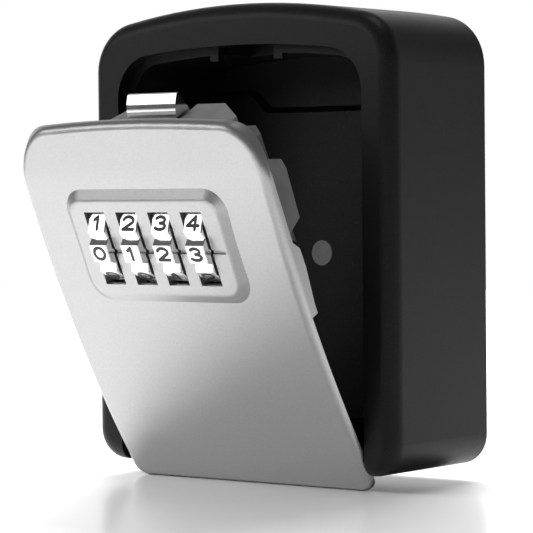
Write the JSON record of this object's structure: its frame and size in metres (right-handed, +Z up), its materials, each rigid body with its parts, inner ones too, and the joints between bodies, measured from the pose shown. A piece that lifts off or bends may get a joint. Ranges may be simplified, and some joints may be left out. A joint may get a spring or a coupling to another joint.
{
  "type": "wall key lock box",
  "caption": "Wall-mounted key lock box with a deep arched housing, a drop-down door, number dials in a raised panel and a sprung latch.",
  "frame": {"origin": "centre of the four wall screw holes, on the back face of the housing", "axes": "+X to the right seen from the front, +Y into the wall, +Z up; the door faces -Y"},
  "size_m": [0.096, 0.0828, 0.1216],
  "materials": {
    "black_finish": "fine-textured black powder coat",
    "silver_finish": "satin silver",
    "silver_polish": "polished",
    "grey_casting": "as cast, mid grey",
    "dial_chrome": "bright plated, black numbers",
    "latch_chrome": "bright plated",
    "steel": "zinc plated",
    "black_plastic": "moulded",
    "grey_plastic": "moulded"
  },
  "bodies": {
    "box": {"housing": "black_finish", "hinge_pins": "steel", "centre_hole_plug": "grey_plastic"},
    "door": {"door_cover": "silver_finish", "mechanism_housing": "grey_casting", "mechanism_cover": "steel", "flange_screws": "steel", "cover_screws": "steel", "dial_spindle": "steel", "spindle_clip": "steel", "dial_separators": "black_plastic", "detent_spring": "steel", "detent_screws": "steel", "latch_springs": "steel", "reset_spring": "steel"},
    "latch": {"latch_bolt": "latch_chrome", "fence_plate": "steel", "latch_rivets": "steel"},
    "reset": {"reset_button": "silver_polish"},
    "dial_body_1": {"dial_1": "dial_chrome", "tumbler_1": "grey_casting"},
    "dial_body_2": {"dial_2": "dial_chrome", "tumbler_2": "grey_casting"},
    "dial_body_3": {"dial_3": "dial_chrome", "tumbler_3": "grey_casting"},
    "dial_body_4": {"dial_4": "dial_chrome", "tumbler_4": "grey_casting"}
  },
  "joints": [
    {"name": "door_hinge", "type": "hinge", "parent": "box", "child": "door", "pos_m": [0, -0.0235, -0.045], "axis": [1, 0, 0], "range_deg": [-28, 0]},
    {"name": "latch_slide", "type": "slide", "parent": "door", "child": "latch", "axis": [0, -0.4695, 0.8829], "range_m": [-0.003, 0.0016], "stiffness_N_per_m": 1000, "deforming": ["latch_springs"]},
    {"name": "reset_push", "type": "slide", "parent": "door", "child": "reset", "axis": [-1, 0, 0], "range_m": [0, 0.002], "stiffness_N_per_m": 500, "deforming": ["reset_spring"]},
    {"name": "dial_1_spin", "type": "hinge", "parent": "door", "child": "dial_body_1", "pos_m": [-0.01636, -0.06396, 0.00682], "axis": [1, 0, 0], "continuous": true},
    {"name": "dial_2_spin", "type": "hinge", "parent": "door", "child": "dial_body_2", "pos_m": [-0.00619, -0.06396, 0.00682], "axis": [1, 0, 0], "continuous": true},
    {"name": "dial_3_spin", "type": "hinge", "parent": "door", "child": "dial_body_3", "pos_m": [0.00398, -0.06396, 0.00682], "axis": [1, 0, 0], "continuous": true},
    {"name": "dial_4_spin", "type": "hinge", "parent": "door", "child": "dial_body_4", "pos_m": [0.01415, -0.06396, 0.00682], "axis": [1, 0, 0], "continuous": true}
  ]
}
